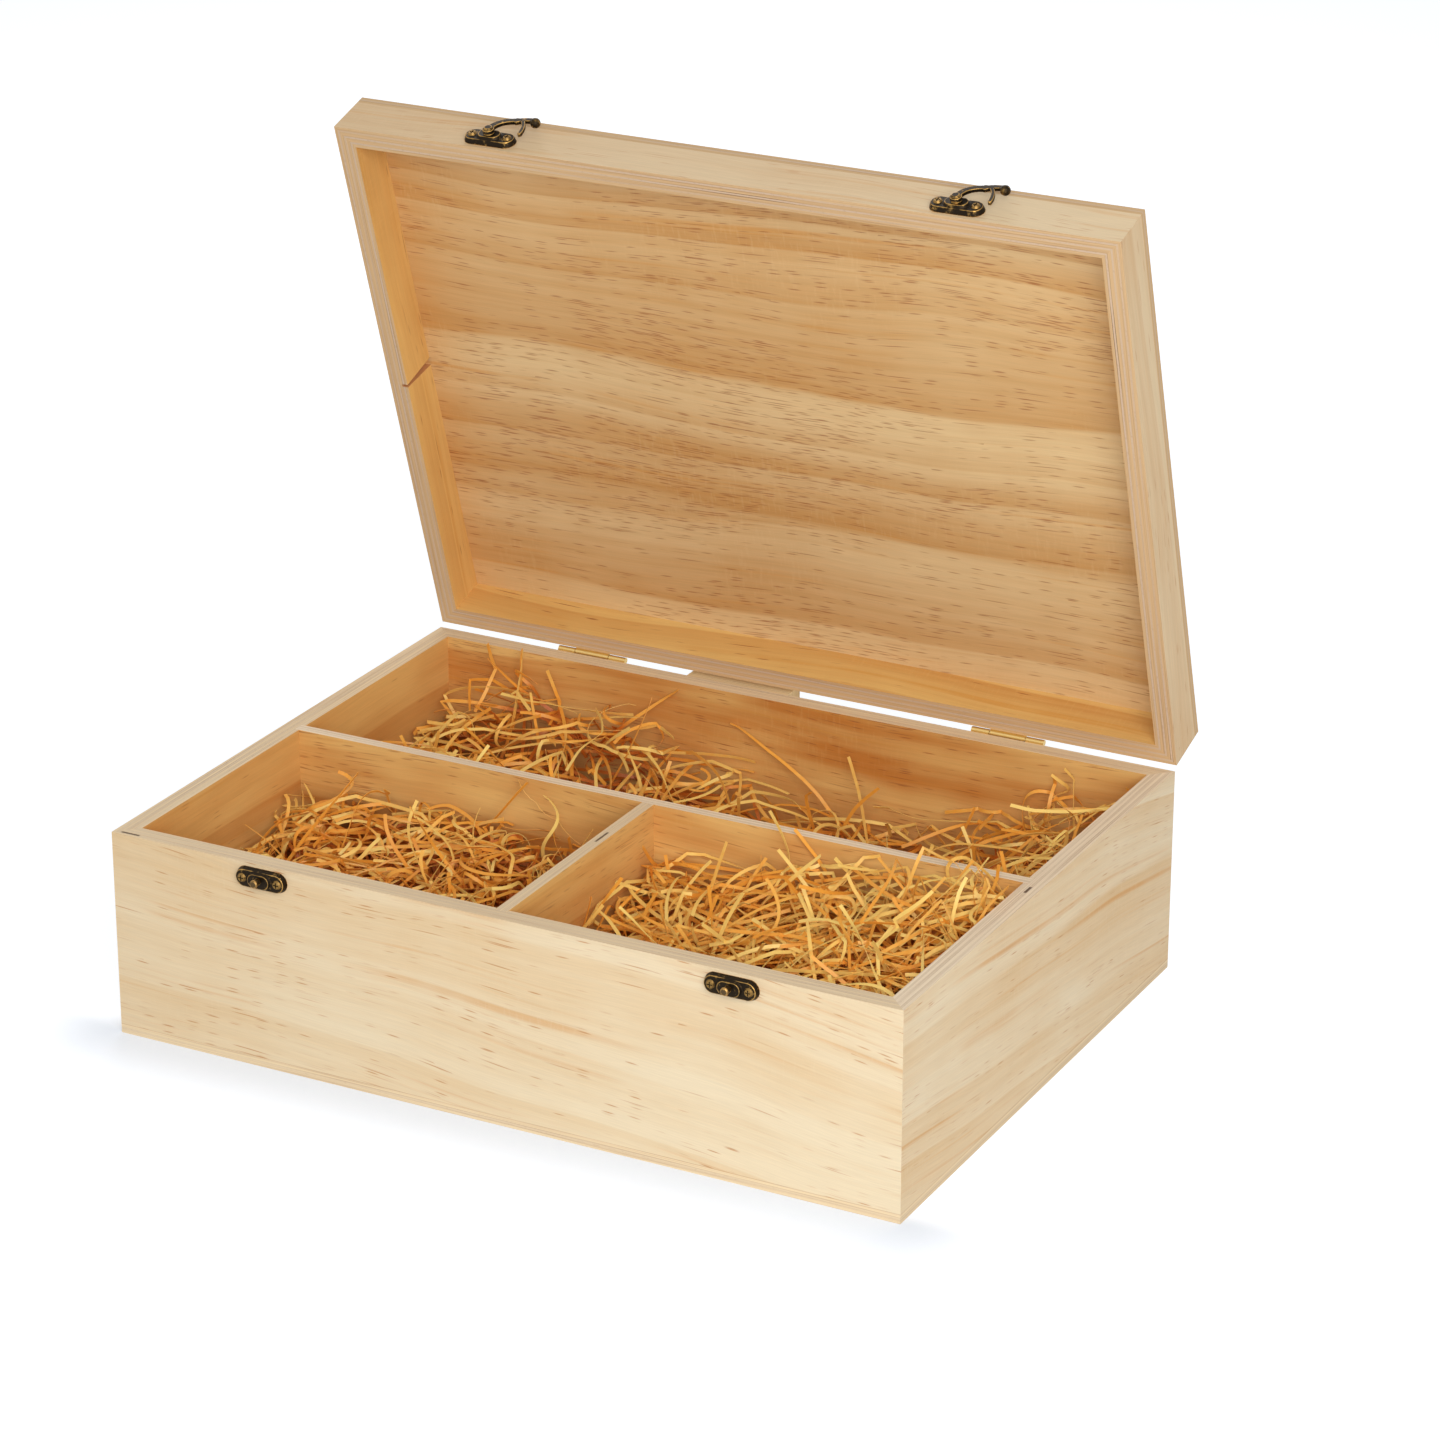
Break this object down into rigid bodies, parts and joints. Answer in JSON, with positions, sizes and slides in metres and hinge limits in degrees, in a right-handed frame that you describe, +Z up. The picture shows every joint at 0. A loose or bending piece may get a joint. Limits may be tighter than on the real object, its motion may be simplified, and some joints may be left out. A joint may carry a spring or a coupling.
{
  "type": "wooden wine box",
  "caption": "Shallow plywood gift box with a hinged framed lid, a long bay for a bottle, short bays for glasses, wood wool beds and hook latches.",
  "frame": {"origin": "centre of the underside of the base", "axes": "+X to the right along the front, +Y to the back where the hinges are, +Z up; stored with the lid open as pictured"},
  "size_m": [0.36, 0.2937, 0.355],
  "materials": {
    "box_plywood": "satin",
    "panel_pine": "satin",
    "divider_plywood": "satin",
    "wood_wool": "matte",
    "antique_bronze": "satin",
    "brass": "satin"
  },
  "bodies": {
    "base": {"front_wall": "box_plywood", "back_wall": "box_plywood", "left_wall": "box_plywood", "right_wall": "box_plywood", "bottom_panel": "panel_pine", "long_divider": "divider_plywood", "cross_divider": "divider_plywood", "lid_stop_block": "panel_pine", "wood_wool_bottle_bay": "wood_wool", "wood_wool_left_bay": "wood_wool", "wood_wool_right_bay": "wood_wool", "catch_plate_left": "antique_bronze", "catch_plate_right": "antique_bronze", "catch_post_left": "antique_bronze", "catch_post_right": "antique_bronze", "catch_screws": "antique_bronze", "hinge_box_leaf_left": "brass", "hinge_box_leaf_right": "brass", "hinge_pin_left": "brass", "hinge_pin_right": "brass", "hinge_box_screws": "brass"},
    "lid": {"lid_panel": "panel_pine", "lid_front_rail": "box_plywood", "lid_back_rail": "box_plywood", "lid_right_rail": "box_plywood", "lid_left_rail_front": "box_plywood", "lid_left_rail_rear": "box_plywood", "hinge_lid_leaf_left": "brass", "hinge_lid_leaf_right": "brass", "hinge_lid_screws": "brass", "latch_plate_left": "antique_bronze", "latch_plate_right": "antique_bronze", "latch_rivet_left": "antique_bronze", "latch_rivet_right": "antique_bronze", "latch_screws": "antique_bronze"},
    "left_latch_arm": {"latch_arm_left": "antique_bronze"},
    "right_latch_arm": {"latch_arm_right": "antique_bronze"}
  },
  "joints": [
    {"name": "lid_hinge", "type": "hinge", "parent": "base", "child": "lid", "pos_m": [0, 0.1326, 0.09145], "axis": [1, 0, 0], "range_deg": [-27.4, 72.6]},
    {"name": "left_latch_pivot", "type": "hinge", "parent": "lid", "child": "left_latch_arm", "pos_m": [-0.107, 0.05993, 0.34492], "axis": [0, 0.299, -0.9542], "range_deg": [-60, 122]},
    {"name": "right_latch_pivot", "type": "hinge", "parent": "lid", "child": "right_latch_arm", "pos_m": [0.107, 0.05993, 0.34492], "axis": [0, 0.299, -0.9542], "range_deg": [-60, 122]}
  ]
}
